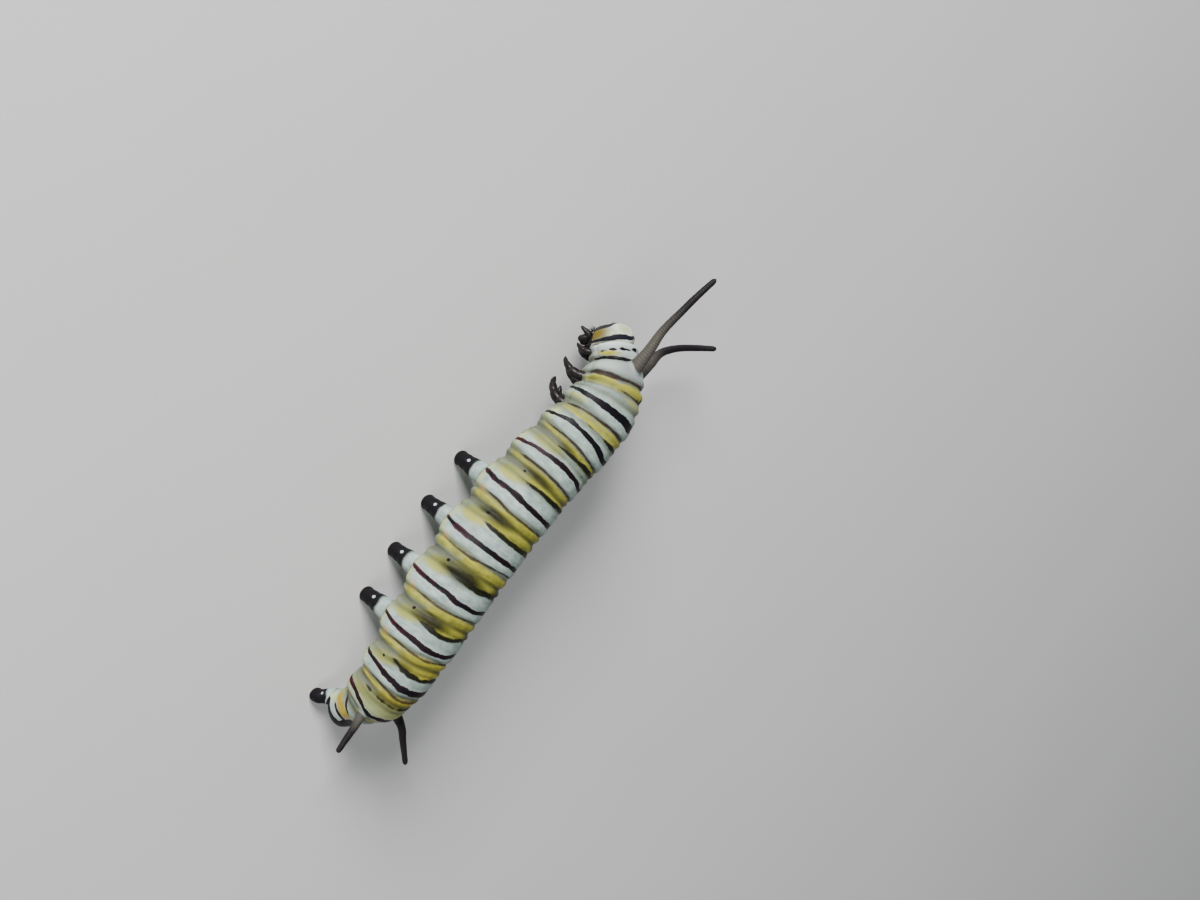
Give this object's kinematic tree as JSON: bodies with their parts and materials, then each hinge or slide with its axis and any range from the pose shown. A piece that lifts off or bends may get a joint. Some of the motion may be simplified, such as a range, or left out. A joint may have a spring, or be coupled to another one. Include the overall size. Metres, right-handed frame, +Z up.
{
  "type": "monarch larva display model",
  "caption": "Monarch larva at life size: banded soft body, dark soft horns at both ends, head bent down, feet on small flat soles.",
  "frame": {"origin": "on the floor under the middle of the model's box, at the level of the prolegs' soles", "axes": "+X towards the head, +Y towards the animal's left side, +Z up"},
  "size_m": [0.0438, 0.013, 0.0086],
  "materials": {
    "larva_skin": "soft satin skin, banded white, black and yellow",
    "head_capsule": "hard smooth shell, banded cream and black",
    "dark_skin": "soft dark skin",
    "dark_horn": "hard dark horn"
  },
  "bodies": {
    "root": {"thorax_1": "larva_skin", "thorax_2": "larva_skin", "thorax_3": "larva_skin", "abdomen_1": "larva_skin", "abdomen_2": "larva_skin", "abdomen_3": "larva_skin", "abdomen_4": "larva_skin", "abdomen_5": "larva_skin", "abdomen_6": "larva_skin", "abdomen_7": "larva_skin", "abdomen_8": "larva_skin", "anal_segment": "larva_skin", "head": "head_capsule", "antenna_left": "dark_horn", "antenna_right": "dark_horn", "mandible_left": "dark_horn", "mandible_right": "dark_horn", "labium": "dark_horn", "leg_1_left": "dark_horn", "leg_1_right": "dark_horn", "leg_2_left": "dark_horn", "leg_2_right": "dark_horn", "leg_3_left": "dark_horn", "leg_3_right": "dark_horn", "proleg_3_left": "dark_skin", "proleg_3_right": "dark_skin", "proleg_4_left": "dark_skin", "proleg_4_right": "dark_skin", "proleg_5_left": "dark_skin", "proleg_5_right": "dark_skin", "proleg_6_left": "dark_skin", "proleg_6_right": "dark_skin", "anal_proleg_left": "dark_skin", "anal_proleg_right": "dark_skin", "front_tentacle_left": "dark_skin", "front_tentacle_right": "dark_skin", "rear_tentacle_left": "dark_skin", "rear_tentacle_right": "dark_skin"}
  },
  "joints": []
}
